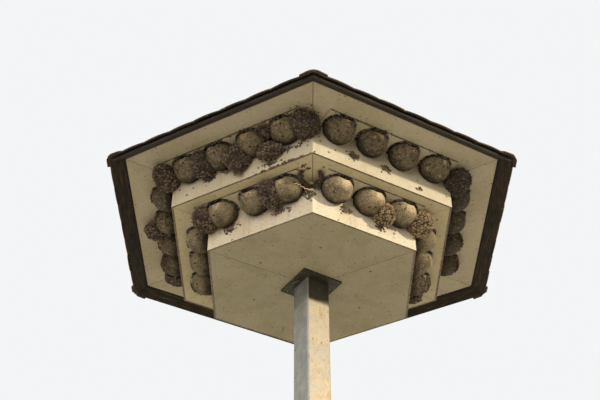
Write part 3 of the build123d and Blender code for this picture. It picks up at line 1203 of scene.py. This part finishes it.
@dataclass
class MudSpatter(Assembly):
    """Pellets that dropped on the walls and ledges, or stuck where a nest was begun or has fallen."""

    shape: BowlShape = BowlShape()
    facets: tuple[int, int] = (8, 5)
    flattening: tuple[float, float, float] = (0.55, 1, 0.8)
    unevenness: float = 0.09
    shape_seed: int = 3
    sharp: float = 80
    least_bulge: float = 0.06
    crust: tuple[float, float] = (1 * MM, 7 * MM)
    pellet_sizes: tuple[float, float] = (5, 13)
    least_down: float = 2.0
    least_out: float = 0.15
    heap: float = 9.0
    hollow: tuple[float, float] = (0.0, 0.75)
    seed: int = 23
    patches: tuple[tuple[Tier, Side, tuple[Splat, ...]], ...] = (
        (Tier.UPPER, Side.FRONT_RIGHT, (
            Splat(-188, 125, 17, 11, 90), Splat(13, 125, 17, 11, 80), Splat(224, 174, 12, 8, 14))),
        (Tier.UPPER, Side.FRONT_LEFT, (
            Splat(-189, 112, 19, 12, 90), Splat(-65, 112, 24, 9, 60), Splat(-21, 145, 14, 9, 26),
            Splat(178, 181, 34, 7, 40), Splat(294, 124, 60, 8, 60),
            Splat(400, 10, 44, 3, 70, out=90, scatter=22), Splat(260, 208, 90, 3, 70))),
        (Tier.UPPER, Side.LEFT, (
            Splat(295, 30, 60, 14, 120, bowl=295.5), Splat(100, 36, 42, 22, 240, bowl=98.5),
            Splat(-130, 40, 20, 18, 80, bowl=-98.5), Splat(-290, 45, 48, 26, 300, bowl=-295.5))),
        (Tier.UPPER, Side.RIGHT, (
            Splat(100, 34, 45, 20, 170, bowl=98.5), Splat(300, 42, 45, 24, 260, bowl=295.5))),
        (Tier.UPPER, Side.FRONT_RIGHT, (Splat(-60, 9, 150, 2, 50, out=126, scatter=2),)),
        (Tier.UPPER, Side.FRONT_LEFT, (Splat(60, 9, 150, 2, 50, out=126, scatter=2),)),
        (Tier.LOWER, Side.FRONT_LEFT, (
            Splat(285, 60, 11, 16, 50), Splat(-178, 108, 20, 16, 90), Splat(120, 118, 26, 9, 50))),
        (Tier.LOWER, Side.FRONT_RIGHT, (Splat(-118, 108, 14, 10, 70), Splat(92, 140, 18, 10, 30))),
        (Tier.LOWER, Side.LEFT, (
            Splat(150, 36, 16, 14, 60, bowl=197), Splat(-235, 50, 22, 22, 150, bowl=-197))),
        (Tier.LOWER, Side.RIGHT, (Splat(200, 40, 50, 26, 300, bowl=197),)),
        (Tier.LOWER, Side.FRONT_LEFT, (
            Splat(334, 3, 21, 2, 16, out=124, scatter=4), Splat(340, 3, 13, 2, 10, out=98, scatter=3),
            Splat(300, 92, 7, 12, 26))),
        (Tier.LOWER, Side.FRONT_RIGHT, (Splat(-304, 78, 7, 9, 16),)),
    )

    def make_pellet(self) -> Piece:
        """Shapes one pellet: a flattened, uneven ball of mud with few faces.

        Returns:
            The pellet, about a unit across.
        """
        Workbench.clear()
        segments, rings = self.facets
        bpy.ops.mesh.primitive_uv_sphere_add(segments=segments, ring_count=rings, radius=0.5)
        pellet = bpy.context.object
        with Workbench.editing(pellet):
            bpy.ops.transform.resize(value=self.flattening)
            bpy.ops.transform.vertex_random(offset=self.unevenness, seed=self.shape_seed)
        Workbench.smooth(pellet, self.sharp)
        return pellet

    def skin(self, bowl: float, along: float, down: float) -> float | None:
        """How far from the wall the skin of a bowl lies at one place.

        Args:
            bowl: Place of the bowl's middle along its wall.
            along: The place along the wall.
            down: Its depth below the boards over the tier.

        Returns:
            The distance, or None beside the bowl or on its steep edge.
        """
        shape = self.shape
        depth = down - (self.measures.soffit - self.measures.upper_rim)
        across = ((along - bowl) / shape.half_along) ** 2 + ((depth - shape.drop) / shape.half_up) ** 2
        if depth < 0 or across > 1 - self.least_bulge:
            return None
        return shape.out + shape.half_out * math.sqrt(1 - across)

    def throw(self, pellet: Piece, wall: Matrix, patch: Splat, draw: random.Random) -> list[Piece]:
        """Sticks the pellets of one patch to its wall.

        Args:
            pellet: The pellet to copy.
            wall: Place of the wall.
            patch: The patch.
            draw: Source of places and sizes.

        Returns:
            The pellets in their places.
        """
        parts = []
        for _ in range(patch.pellets):
            size = draw.uniform(*self.pellet_sizes) * MM
            along = draw.gauss(patch.along, patch.width) * MM
            down = max(self.least_down, draw.gauss(patch.down, patch.height)) * MM
            heap = self.heap * math.exp(-((along / MM - patch.along) / patch.width) ** 2)
            out = (patch.out + draw.uniform(0, heap) + draw.gauss(0, patch.scatter)) * MM
            if patch.bowl is not None:
                skin = self.skin(patch.bowl * MM, along, down)
                if skin is None:
                    continue
                out = skin + draw.uniform(*self.crust)
            place = Matrix.Translation((max(out, self.least_out * size), along, -down))
            turn = Matrix.Rotation(draw.uniform(0, math.tau), 4, "X")
            part = Workbench.copy(pellet, wall @ place @ turn @ Matrix.Diagonal((size, size, size, 1)))
            Workbench.store(part, "hollow", draw.uniform(*self.hollow))
            parts.append(part)
        return parts

    def build(self) -> None:
        """Makes the spatter of each tier as one piece."""
        draw = random.Random(self.seed)
        pellet = self.make_pellet()
        for tier in Tier:
            parts = []
            for side, patches in [(side, patches) for place, side, patches in self.patches if place is tier]:
                wall = self.measures.wall_frame(tier, side)
                parts += [part for patch in patches for part in self.throw(pellet, wall, patch, draw)]
            piece = Workbench.join(parts, f"mud_spatter_{tier.value}")
            Workbench.deliver(piece, self.finishes.mud, MUD_SLOT)
        Workbench.discard(pellet)


@dataclass(frozen=True)
class Straw:
    """One stalk that hangs from a point, by its length, lean and number, in millimetres."""

    place: tuple[float, float, float]
    length: float
    lean: tuple[float, float]
    count: int = 1
    spread: float = 0
    ruffle: float = 0


@dataclass
class Straws(Assembly):
    """Grass stalks that birds carried in and left hanging."""

    thickness: float = 4.2 * MM
    facets: int = 5
    near_enough: float = 0.01
    bow: float = 0.9
    settle: float = 0.5
    lengths: tuple[float, float] = (0.8, 1.15)
    bent_thickness: float = 5.5 * MM
    bent_path: tuple[tuple[float, float, float], ...] = (
        (-90, 50, 58), (-72, 42, 56), (-57, 26, 55), (-37, 16, 62), (-17, 14, 67), (9, 14, 66))
    seed: int = 31

    def list_tufts(self) -> list[Straw]:
        """Lists where stalks hang.

        Returns:
            Stalks at the floor's edge, beside the post, at the corner nest and at the broken nest.
        """
        floor = self.measures.floor / MM
        upper, lower = (self.measures.corner(tier) / MM for tier in Tier)
        return [
            Straw((-152, 401, floor), 42, (-0.3, 0.1)),
            Straw((-58, -70, floor - 12), 50, (-1.1, 0.2)),
            Straw((-30, -upper - 60, self.measures.soffit / MM - 14), 26, (0, 0), 40, 60, 1.3),
            Straw((-66, -lower - 4, self.measures.ledge / MM - 36), 26, (0.4, 0), 3, 12, 0.6),
        ]

    def list_bends(self) -> list[tuple[Vector, Vector]]:
        """Lists the short straight lengths of one pale stalk, which lies bent under the broken nest.

        Returns:
            The two ends of each length.
        """
        corner = self.measures.corner(Tier.LOWER) / MM
        ledge = self.measures.ledge / MM
        path = [Vector((x, -corner - forward, ledge - down)) * MM for x, forward, down in self.bent_path]
        return list(zip(path, path[1:]))

    def make_stalk(self) -> Piece:
        """Shapes one thin, slightly bent stalk a unit long, hanging from its origin.

        Returns:
            The stalk.
        """
        Workbench.clear()
        bpy.ops.mesh.primitive_cylinder_add(vertices=self.facets, radius=0.5, depth=1, location=(0, 0, -0.5))
        stalk = bpy.context.object
        bpy.ops.object.transform_apply(location=True, rotation=False, scale=False)
        with Workbench.editing(stalk):
            bpy.ops.mesh.bisect(plane_co=(0, 0, -0.5), plane_no=(0, 0, 1))
        with Workbench.editing(stalk, lambda place: abs(place.z + 0.5) < self.near_enough):
            bpy.ops.transform.translate(value=(self.bow, 0, 0))
        return stalk

    def hang(self, stalk: Piece, tuft: Straw, draw: random.Random) -> Piece:
        """Hangs one stalk of a tuft.

        Args:
            stalk: The stalk to copy.
            tuft: The tuft.
            draw: Source of its place, lean, length and turn.

        Returns:
            The stalk in its place.
        """
        shift = Vector([draw.gauss(0, tuft.spread / 2) for _ in range(3)]) * MM
        shift.z = -abs(shift.z) * self.settle
        lean_x, lean_y = (lean + draw.uniform(-tuft.ruffle, tuft.ruffle) for lean in tuft.lean)
        turn = Matrix.Rotation(lean_y, 4, "X") @ Matrix.Rotation(-lean_x, 4, "Y")
        length = tuft.length * draw.uniform(*self.lengths) * MM
        size = Matrix.Diagonal((self.thickness, self.thickness, length, 1))
        spin = Matrix.Rotation(draw.uniform(0, math.tau), 4, "Z")
        return Workbench.copy(stalk, Matrix.Translation(Vector(tuft.place) * MM + shift) @ turn @ spin @ size)

    def build(self) -> None:
        """Hangs every stalk and lays the bent one."""
        draw = random.Random(self.seed)
        stalk = self.make_stalk()
        parts = [self.hang(stalk, tuft, draw) for tuft in self.list_tufts() for _ in range(tuft.count)]
        for first, last in self.list_bends():
            turn = Vector((0, 0, -1)).rotation_difference(last - first).to_matrix().to_4x4()
            size = Matrix.Diagonal((self.bent_thickness, self.bent_thickness, (last - first).length, 1))
            part = Workbench.copy(stalk, Matrix.Translation(first) @ turn @ size)
            Workbench.store(part, "paleness", 1.0)
            parts.append(part)
        Workbench.discard(stalk)
        Workbench.deliver(Workbench.join(parts, "grass_stalks"), self.finishes.straw, MUD_SLOT)


@dataclass
class TiledRoof(Assembly):
    """Thin tiles with slightly arched lips, laid in courses on six fields, and lapped caps over the hips."""

    tile_width: float = 152 * MM
    tile_gap: float = 0.6 * MM
    tile_length: float = 185 * MM
    course: float = 145 * MM
    thickness: float = 6 * MM
    round_edge: float = 1.2 * MM
    sharp: float = 50
    arch: float = 4.5 * MM
    peak: float = 0.03
    ribs: int = 6
    cap_width: float = 136 * MM
    cap_fold: float = 14 * MM
    cap_nose: float = 14 * MM
    cap_lift: float = 11 * MM
    trim: float = 0.1 * MM
    slack: float = 1.5 * MM
    errors: tuple[float, float, float] = (0.003, 0.01, 0.012)
    slip: float = 4
    rise: float = 1
    moss_reach: float = 40 * MM
    seed: int = 5

    @property
    def lift(self) -> float:
        """Height of a plate's lower edge over the surface that its head rests on."""
        return self.thickness * self.tile_length / self.course

    @property
    def draw_in(self) -> float:
        """How far up the slope the lowest tiles lie, so that their arched lips end in line with the eaves."""
        over = self.lift + self.thickness + self.arch - self.measures.tile_butt
        return max(0.0, over) * math.tan(self.measures.roof_pitch) + self.slack

    @property
    def hip_pitch(self) -> float:
        """Slope of the hips."""
        return math.atan(math.cos(HALF_STEP) * math.tan(self.measures.roof_pitch))

    @property
    def hip_fall(self) -> float:
        """How far a hip cap's wings drop for each unit across."""
        return math.sin(HALF_STEP) * math.tan(self.measures.roof_pitch)

    def make_plate(self, width: float, ribs: int, shape: Callable[[float], float]) -> Piece:
        """Shapes one plate with its lower edge at x = 0 and its head at -x.

        Args:
            width: Width across the slope.
            ribs: Number of strips across it.
            shape: Height of the underside at each distance from the middle.

        Returns:
            The plate.
        """
        Workbench.clear()
        bpy.ops.mesh.primitive_grid_add(x_subdivisions=2, y_subdivisions=ribs, size=1, location=(-0.5, 0, 0))
        plate = bpy.context.object
        bpy.ops.object.transform_apply(location=True, rotation=False, scale=False)
        with Workbench.editing(plate):
            bpy.ops.transform.resize(value=(self.tile_length, width, 1), center_override=(0, 0, 0))
        for rib in range(ribs + 1):
            across = (rib / ribs - 0.5) * width
            with Workbench.editing(plate, lambda place, row=across: abs(place.y - row) < self.trim):
                bpy.ops.transform.translate(value=(0, 0, shape(across)))
        Workbench.modify(plate, "SOLIDIFY", thickness=self.thickness, offset=1)
        Workbench.modify(plate, "BEVEL", width=self.round_edge, segments=2, limit_method="ANGLE",
                         angle_limit=math.radians(self.sharp))
        return plate

    def slope_frame(self, turn: float, lip: float, pitch: float) -> Matrix:
        """Place of a slope: x down it, z square to it, at the tiles' lower edge.

        Args:
            turn: Angle of the slope's outward direction from +X.
            lip: Distance of its lower end from the axis.
            pitch: The slope.

        Returns:
            The place.
        """
        edge = Matrix.Translation((lip, 0, self.measures.tile_foot))
        return Matrix.Rotation(turn, 4, "Z") @ edge @ Matrix.Rotation(pitch, 4, "Y")

    def lay_plate(self, plate: Piece, foot: float, along: float, over: float, draw: random.Random) -> Piece:
        """Lays one plate a little out of true, with its own tone.

        Args:
            plate: The plate to copy.
            foot: Distance of its lower edge up the slope.
            along: Its place across the slope.
            over: Height of its head over the deck.
            draw: Source of its small errors.

        Returns:
            The laid plate.
        """
        tilt, turn, roll = (draw.uniform(-most, most) for most in self.errors)
        tilt -= math.atan2(self.lift, self.tile_length)
        lower = foot + draw.uniform(0, self.slip) * MM
        place = Matrix.Translation((-lower, along, over + self.lift + draw.uniform(0, self.rise) * MM))
        turned = Matrix.Rotation(turn, 4, "Z") @ Matrix.Rotation(tilt, 4, "Y") @ Matrix.Rotation(roll, 4, "X")
        part = Workbench.copy(plate, place @ turned)
        Workbench.store(part, "tone", draw.random())
        Workbench.store(part, "butt", [max(0.0, 1 + (vertex.co.x + foot) / self.moss_reach)
                                       for vertex in part.data.vertices])
        return part

    def build_fields(self, draw: random.Random) -> None:
        """Lays the tiles of each field and trims them at the hips.

        Args:
            draw: Source of small errors.
        """
        width = self.tile_width - self.tile_gap
        tile = self.make_plate(width, self.ribs, lambda across: self.arch_at(across / width))
        fall = math.cos(self.measures.roof_pitch)
        lip = self.measures.tile_lip
        for side in Side:
            parts = []
            for course in range(math.ceil(lip / fall / self.course)):
                foot = course * self.course + self.draw_in
                half = (lip - foot * fall) * math.tan(HALF_STEP)
                offset = self.tile_width / 2 if course % 2 else 0.0
                reach = math.ceil(half / self.tile_width) + 1
                for number in range(-reach, reach + 1):
                    along = number * self.tile_width + offset
                    if abs(along) - self.tile_width / 2 < half:
                        parts.append(self.lay_plate(tile, foot, along, 0, draw))
            piece = Workbench.join(parts, f"roof_tiles_{side.label}")
            piece.data.transform(self.slope_frame(side.turn, lip, self.measures.roof_pitch))
            for turn in (math.pi / 2 + HALF_STEP, -math.pi / 2 - HALF_STEP):
                Workbench.cut(piece, Vector(), outward(side.turn + turn))
            Workbench.cut(piece, self.measures.roof_top * UP, UP)
            Workbench.deliver(piece, self.finishes.tile, "roof_tile", f"tiles_{side.label}")
        Workbench.discard(tile)

    def arch_at(self, share: float) -> float:
        """Height of a tile's underside, highest off its middle, so that one side laps over the next tile."""
        return self.arch * (1 - ((share + self.peak) / (0.5 + self.peak)) ** 2)

    def fold_cap(self, across: float) -> float:
        """Height of a cap's underside: two falling wings with a rounded fold between them."""
        return -self.hip_fall * (math.hypot(across, self.cap_fold) - self.cap_fold)

    def build_caps(self, draw: random.Random) -> None:
        """Laps the caps up each hip and cuts the lowest in line with both eaves.

        Args:
            draw: Source of small errors.
        """
        cap = self.make_plate(self.cap_width, 2 * self.ribs, self.fold_cap)
        lip = self.measures.tile_lip / math.cos(HALF_STEP)
        numbers = range(math.ceil(lip / math.cos(self.hip_pitch) / self.course))
        feet = [number * self.course - self.course / 2 for number in numbers]
        parts = []
        for side in Side:
            laid = [self.lay_plate(cap, foot, 0, self.cap_lift, draw) for foot in feet]
            piece = Workbench.join(laid, "hip")
            hip = side.turn - HALF_STEP
            piece.data.transform(self.slope_frame(hip, lip, self.hip_pitch))
            eaves = self.measures.cap_edge
            nose = eaves / math.cos(HALF_STEP) - self.cap_nose - self.trim
            for turn, edge in ((side.turn, eaves), (side.turn - STEP, eaves), (hip, nose)):
                Workbench.cut(piece, outward(turn) * edge, outward(turn))
            Workbench.cut(piece, outward(hip) * self.cap_width, -outward(hip))
            parts.append(piece)
        piece = Workbench.join(parts, "roof_hip_caps")
        Workbench.deliver(piece, self.finishes.tile, "roof_tile", "hip_caps")
        Workbench.discard(cap)

    def build(self) -> None:
        """Covers the roof."""
        draw = random.Random(self.seed)
        self.build_fields(draw)
        self.build_caps(draw)


@dataclass
class Studio:
    """Pale floor, plain soft light and the camera of the photograph."""

    floor_radius: float = 14
    floor_sides: int = 96
    floor_drop: float = 0.5 * MM
    floor_tones: tuple[str, str] = ("D8D6D0", "DEDCD6")
    floor_cloud: float = 900
    fill: tuple[str, float] = ("F3EBDC", 0.34)
    backdrop: tuple[str, float] = ("F4F5F6", 1.0)
    camera_place: tuple[float, float, float] = (-0.084, -4.789, 1.597)
    heading: float = math.radians(0.293)
    pitch: float = math.radians(40.309)
    roll: float = math.radians(-0.144)
    lens: float = 65.2
    sensor: float = 36.0

    def build(self) -> None:
        """Sets up the stage, the lamps, the world and the camera."""
        self.make_floor()
        self.hang_lamp("key", energy=2.75, spread=2.5, colour=(1.0, 0.9, 0.76), azimuth=-25, elevation=14)
        self.hang_lamp("fill", energy=1.8, spread=60.0, colour=(1.0, 0.95, 0.94), azimuth=-110, elevation=12)
        self.make_world()
        self.make_camera()
        bpy.context.scene.view_settings.view_transform = "Standard"

    def make_floor(self) -> None:
        """Lays a round pale floor."""
        Workbench.clear()
        bpy.ops.mesh.primitive_circle_add(vertices=self.floor_sides, radius=self.floor_radius,
                                          fill_type="NGON", location=(0, 0, -self.floor_drop))
        floor = bpy.context.object
        floor.name = "studio_floor"
        pattern = Pattern("studio_floor", self.floor_tones[0])
        pattern.coat(self.floor_tones[1], pattern.noise(self.floor_cloud, 2, 0.5))
        floor.data.materials.append(pattern.finish(0.9))

    @staticmethod
    def hang_lamp(name: str, energy: float, spread: float, colour: tuple[float, float, float],
                  azimuth: float, elevation: float) -> None:
        """Hangs one distant lamp.

        Args:
            name: The lamp's name.
            energy: Its strength.
            spread: Its width in degrees, which softens its shadows.
            colour: Its linear colour.
            azimuth: Direction towards it from +X, in degrees.
            elevation: Height of that direction over the horizon, in degrees.
        """
        data = bpy.data.lights.new(name, "SUN")
        data.energy = energy
        data.angle = math.radians(spread)
        data.color = colour
        lamp = bpy.data.objects.new(name, data)
        bpy.context.collection.objects.link(lamp)
        over = math.radians(elevation)
        towards = math.cos(over) * outward(math.radians(azimuth)) + math.sin(over) * UP
        lamp.rotation_mode = "QUATERNION"
        lamp.rotation_quaternion = towards.to_track_quat("Z", "Y")

    def make_world(self) -> None:
        """Makes an even pale world that lights softly and shows white."""
        world = bpy.data.worlds.new("studio")
        bpy.context.scene.world = world
        world.use_nodes = True
        tree = world.node_tree
        tree.nodes.clear()
        path = add_node(tree, "ShaderNodeLightPath").outputs
        seen = path["Is Camera Ray"]
        for ray in ("Is Glossy Ray", "Is Transmission Ray"):
            seen = add_node(tree, "ShaderNodeMath", {0: seen, 1: path[ray]}, operation="MAXIMUM").outputs[0]
        fill, shown = (
            add_node(tree, "ShaderNodeBackground", {"Color": linear(code), "Strength": strength}).outputs[0]
            for code, strength in (self.fill, self.backdrop))
        both = add_node(tree, "ShaderNodeMixShader", {0: seen, 1: fill, 2: shown})
        add_node(tree, "ShaderNodeOutputWorld", {"Surface": both.outputs[0]})

    def make_camera(self) -> None:
        """Places the camera where the photograph was taken."""
        data = bpy.data.cameras.new("camera")
        data.lens = self.lens
        data.sensor_width = self.sensor
        camera = bpy.data.objects.new("camera", data)
        bpy.context.collection.objects.link(camera)
        camera.location = self.camera_place
        ahead = Matrix.Rotation(-self.heading, 4, "Z") @ Matrix.Rotation(math.pi / 2 + self.pitch, 4, "X")
        camera.rotation_mode = "QUATERNION"
        camera.rotation_quaternion = (ahead @ Matrix.Rotation(self.roll, 4, "Z")).to_quaternion()
        bpy.context.scene.camera = camera


def main() -> None:
    """Builds the tower's dressing in order."""
    logging.basicConfig(level=logging.INFO, format="%(message)s")
    measures = Measures()
    finishes = Finishes(measures)
    for assembly in (CarriedNodes, NestBowls, MudNests, MudSpatter, Straws, TiledRoof):
        assembly(measures, finishes).build()
    Studio().build()
    Workbench.clear()


if __name__ == "__main__":
    main()
